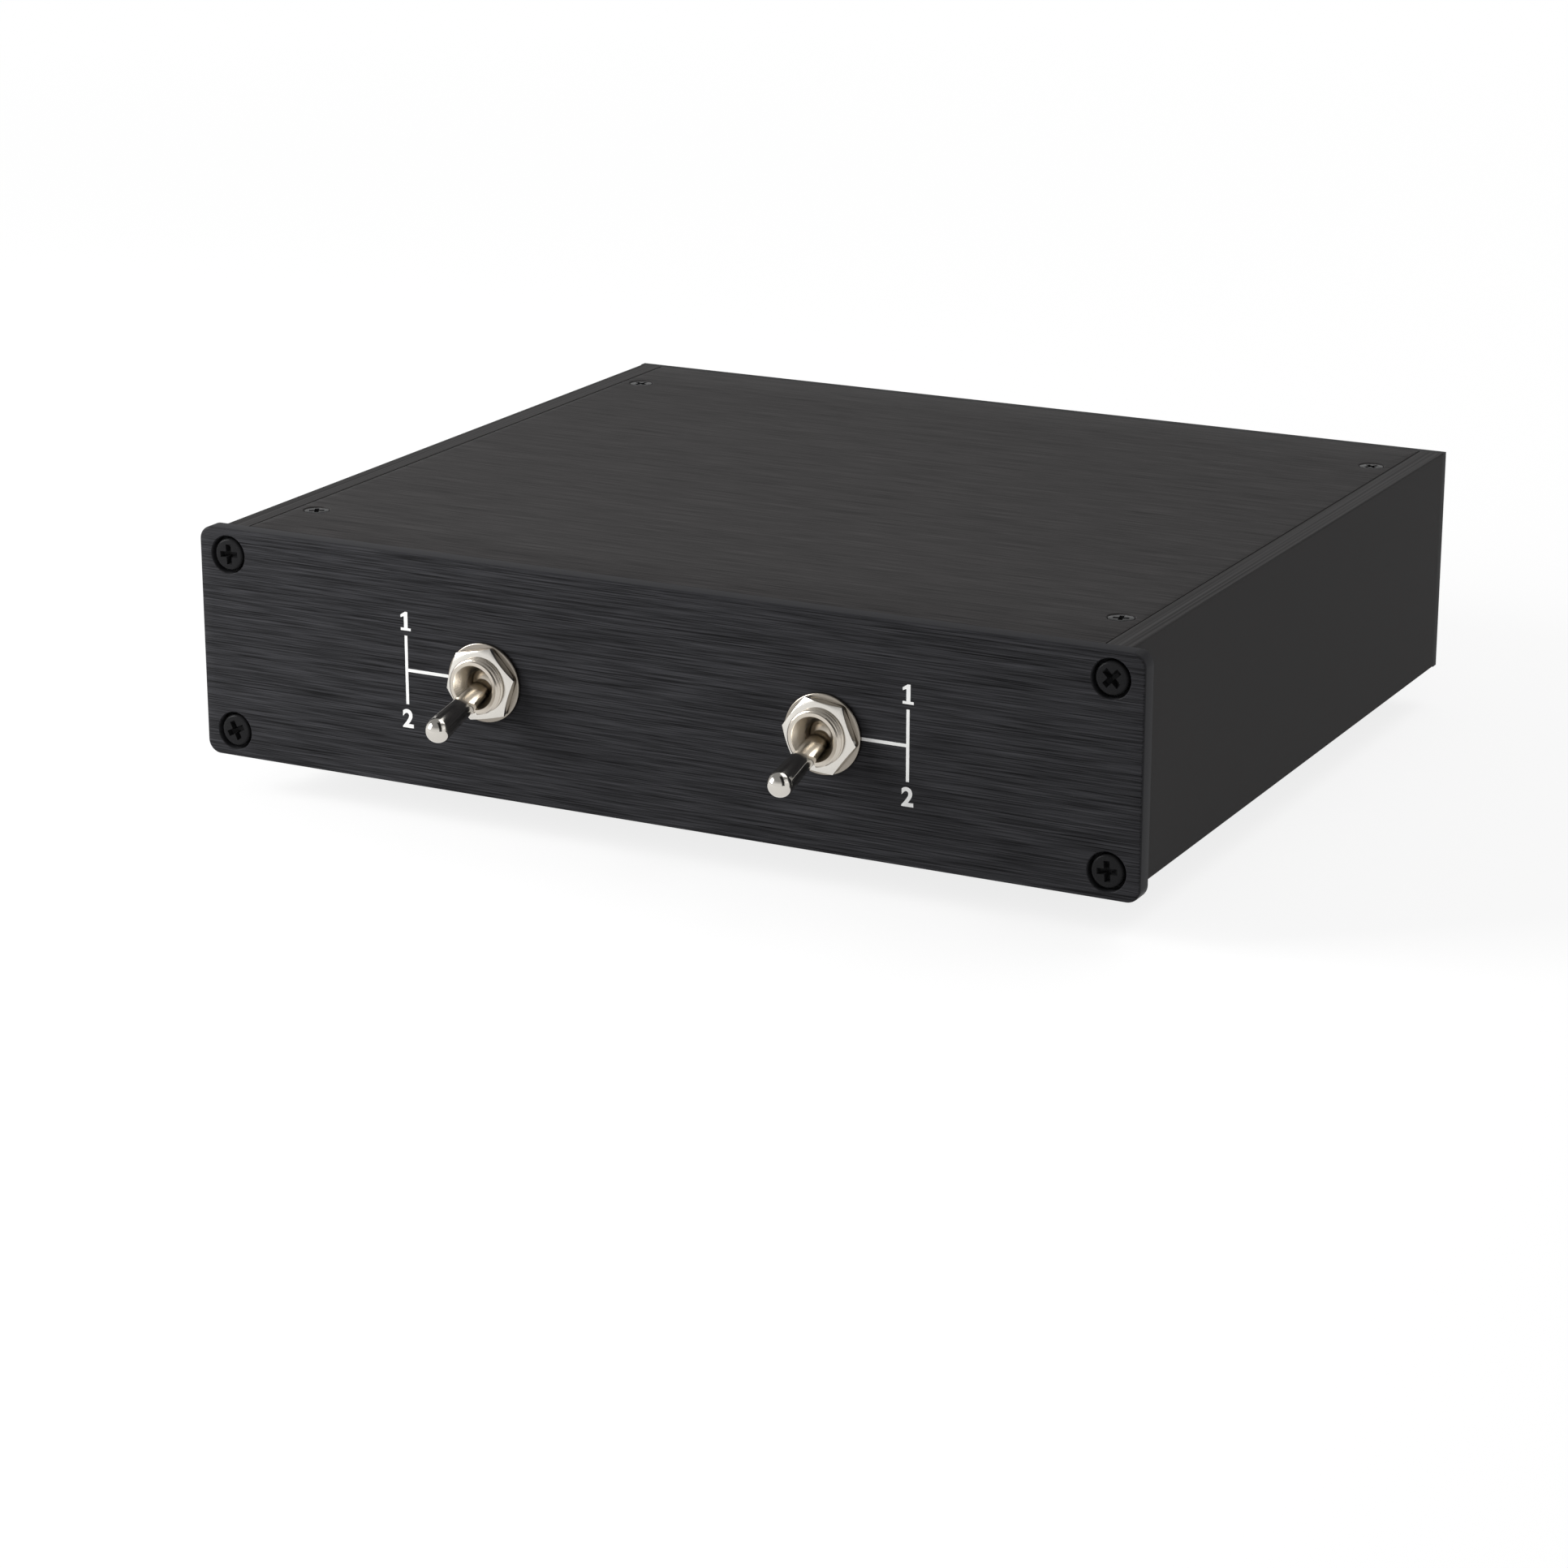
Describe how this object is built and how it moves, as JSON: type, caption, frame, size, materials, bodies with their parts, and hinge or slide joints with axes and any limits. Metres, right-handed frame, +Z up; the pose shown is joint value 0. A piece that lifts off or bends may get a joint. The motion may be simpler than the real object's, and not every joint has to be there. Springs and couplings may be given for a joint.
{
  "type": "speaker selector switch",
  "caption": "Flat rectangular switch box with toggle levers on its front panel and speaker binding posts on its back.",
  "frame": {"origin": "centre of the whole outline, lever tips to post caps, on the surface that the feet stand on", "axes": "+X to the user's right along the front panel, +Y back through the case to the posts, +Z up"},
  "size_m": [0.22, 0.2328, 0.06],
  "materials": {
    "panel_anodised": "black anodised, brushed along its length",
    "cover_anodised": "dark grey anodised, brushed across the case",
    "rail_anodised": "dark grey anodised extrusion with fine lengthwise grain",
    "rear_panel_painted": "black powder coat",
    "screw_black_oxide": "black oxide",
    "screw_zinc": "bright zinc",
    "foot_rubber": "matt moulded rubber",
    "washer_nickel": "bright nickel",
    "nut_nickel": "bright nickel",
    "bushing_nickel": "bright nickel on brass",
    "lever_nickel": "polished nickel on brass",
    "pin_steel": "ground steel",
    "plunger_nylon": "natural nylon",
    "spring_steel": "spring steel",
    "frame_zinc": "zinc plated steel",
    "base_phenolic": "moulded phenolic",
    "cradle_acetal": "moulded acetal",
    "contact_silver": "silver plated",
    "terminal_brass": "silver plated brass",
    "block_abs": "black moulded plastic",
    "plate_fibre": "pressed fibre board",
    "stud_brass": "gold plated brass",
    "tag_tinned": "tinned brass",
    "nut_brass": "bright brass",
    "cap_red": "red moulded plastic",
    "cap_black": "black moulded plastic",
    "wire_red_pvc": "red insulation",
    "wire_black_pvc": "black insulation",
    "wire_grey_pvc": "grey insulation"
  },
  "bodies": {
    "case": {"front_panel": "panel_anodised", "rear_panel": "rear_panel_painted", "left_side_rail": "rail_anodised", "right_side_rail": "rail_anodised", "top_cover": "cover_anodised", "bottom_cover": "cover_anodised", "panel_screws": "screw_black_oxide", "cover_screws": "screw_black_oxide", "feet": "foot_rubber", "foot_screws": "screw_zinc", "switch_washers": "washer_nickel", "switch_nuts": "nut_nickel", "post_blocks": "block_abs", "post_inner_plates": "plate_fibre", "post_studs": "stud_brass", "solder_tags": "tag_tinned", "post_nuts": "nut_brass", "red_wires": "wire_red_pvc", "black_wires": "wire_black_pvc", "link_wires": "wire_grey_pvc", "left_switch_bushing": "bushing_nickel", "left_switch_pivot_pin": "pin_steel", "left_switch_frame": "frame_zinc", "left_switch_base": "base_phenolic", "left_switch_terminals": "terminal_brass", "right_switch_bushing": "bushing_nickel", "right_switch_pivot_pin": "pin_steel", "right_switch_frame": "frame_zinc", "right_switch_base": "base_phenolic", "right_switch_terminals": "terminal_brass"},
    "left_lever": {"left_switch_lever": "lever_nickel", "left_switch_plunger": "plunger_nylon", "left_switch_spring": "spring_steel"},
    "left_cradle": {"left_switch_cradle": "cradle_acetal", "left_switch_blades": "contact_silver"},
    "right_lever": {"right_switch_lever": "lever_nickel", "right_switch_plunger": "plunger_nylon", "right_switch_spring": "spring_steel"},
    "right_cradle": {"right_switch_cradle": "cradle_acetal", "right_switch_blades": "contact_silver"},
    "amp_1_left_plus_cap": {"amp_1_left_plus_cap": "cap_red"},
    "amp_1_right_plus_cap": {"amp_1_right_plus_cap": "cap_red"},
    "amp_1_left_minus_cap": {"amp_1_left_minus_cap": "cap_black"},
    "amp_1_right_minus_cap": {"amp_1_right_minus_cap": "cap_black"},
    "amp_2_left_plus_cap": {"amp_2_left_plus_cap": "cap_red"},
    "amp_2_right_plus_cap": {"amp_2_right_plus_cap": "cap_red"},
    "amp_2_left_minus_cap": {"amp_2_left_minus_cap": "cap_black"},
    "amp_2_right_minus_cap": {"amp_2_right_minus_cap": "cap_black"},
    "speaker_1_left_plus_cap": {"speaker_1_left_plus_cap": "cap_red"},
    "speaker_1_right_plus_cap": {"speaker_1_right_plus_cap": "cap_red"},
    "speaker_1_left_minus_cap": {"speaker_1_left_minus_cap": "cap_black"},
    "speaker_1_right_minus_cap": {"speaker_1_right_minus_cap": "cap_black"},
    "speaker_2_left_plus_cap": {"speaker_2_left_plus_cap": "cap_red"},
    "speaker_2_right_plus_cap": {"speaker_2_right_plus_cap": "cap_red"},
    "speaker_2_left_minus_cap": {"speaker_2_left_minus_cap": "cap_black"},
    "speaker_2_right_minus_cap": {"speaker_2_right_minus_cap": "cap_black"}
  },
  "joints": [
    {"name": "left_lever", "type": "hinge", "parent": "case", "child": "left_lever", "pos_m": [-0.0388, -0.09225, 0.0345], "axis": [-1, 0, 0], "range_deg": [0, 28]},
    {"name": "left_cradle", "type": "hinge", "parent": "case", "child": "left_cradle", "pos_m": [-0.0388, -0.07685, 0.0345], "axis": [1, 0, 0], "range_deg": [0, 18]},
    {"name": "right_lever", "type": "hinge", "parent": "case", "child": "right_lever", "pos_m": [0.0406, -0.09225, 0.0345], "axis": [-1, 0, 0], "range_deg": [0, 28]},
    {"name": "right_cradle", "type": "hinge", "parent": "case", "child": "right_cradle", "pos_m": [0.0406, -0.07685, 0.0345], "axis": [1, 0, 0], "range_deg": [0, 18]},
    {"name": "amp_1_left_plus_cap", "type": "slide", "parent": "case", "child": "amp_1_left_plus_cap", "axis": [0, 1, 0], "range_m": [0, 0.005]},
    {"name": "amp_1_right_plus_cap", "type": "slide", "parent": "case", "child": "amp_1_right_plus_cap", "axis": [0, 1, 0], "range_m": [0, 0.005]},
    {"name": "amp_1_left_minus_cap", "type": "slide", "parent": "case", "child": "amp_1_left_minus_cap", "axis": [0, 1, 0], "range_m": [0, 0.005]},
    {"name": "amp_1_right_minus_cap", "type": "slide", "parent": "case", "child": "amp_1_right_minus_cap", "axis": [0, 1, 0], "range_m": [0, 0.005]},
    {"name": "amp_2_left_plus_cap", "type": "slide", "parent": "case", "child": "amp_2_left_plus_cap", "axis": [0, 1, 0], "range_m": [0, 0.005]},
    {"name": "amp_2_right_plus_cap", "type": "slide", "parent": "case", "child": "amp_2_right_plus_cap", "axis": [0, 1, 0], "range_m": [0, 0.005]},
    {"name": "amp_2_left_minus_cap", "type": "slide", "parent": "case", "child": "amp_2_left_minus_cap", "axis": [0, 1, 0], "range_m": [0, 0.005]},
    {"name": "amp_2_right_minus_cap", "type": "slide", "parent": "case", "child": "amp_2_right_minus_cap", "axis": [0, 1, 0], "range_m": [0, 0.005]},
    {"name": "speaker_1_left_plus_cap", "type": "slide", "parent": "case", "child": "speaker_1_left_plus_cap", "axis": [0, 1, 0], "range_m": [0, 0.005]},
    {"name": "speaker_1_right_plus_cap", "type": "slide", "parent": "case", "child": "speaker_1_right_plus_cap", "axis": [0, 1, 0], "range_m": [0, 0.005]},
    {"name": "speaker_1_left_minus_cap", "type": "slide", "parent": "case", "child": "speaker_1_left_minus_cap", "axis": [0, 1, 0], "range_m": [0, 0.005]},
    {"name": "speaker_1_right_minus_cap", "type": "slide", "parent": "case", "child": "speaker_1_right_minus_cap", "axis": [0, 1, 0], "range_m": [0, 0.005]},
    {"name": "speaker_2_left_plus_cap", "type": "slide", "parent": "case", "child": "speaker_2_left_plus_cap", "axis": [0, 1, 0], "range_m": [0, 0.005]},
    {"name": "speaker_2_right_plus_cap", "type": "slide", "parent": "case", "child": "speaker_2_right_plus_cap", "axis": [0, 1, 0], "range_m": [0, 0.005]},
    {"name": "speaker_2_left_minus_cap", "type": "slide", "parent": "case", "child": "speaker_2_left_minus_cap", "axis": [0, 1, 0], "range_m": [0, 0.005]},
    {"name": "speaker_2_right_minus_cap", "type": "slide", "parent": "case", "child": "speaker_2_right_minus_cap", "axis": [0, 1, 0], "range_m": [0, 0.005]}
  ],
  "couplings": [
    {"joint": "left_cradle", "follows": "left_lever", "ratio": 0.64286},
    {"joint": "right_cradle", "follows": "right_lever", "ratio": 0.64286}
  ]
}
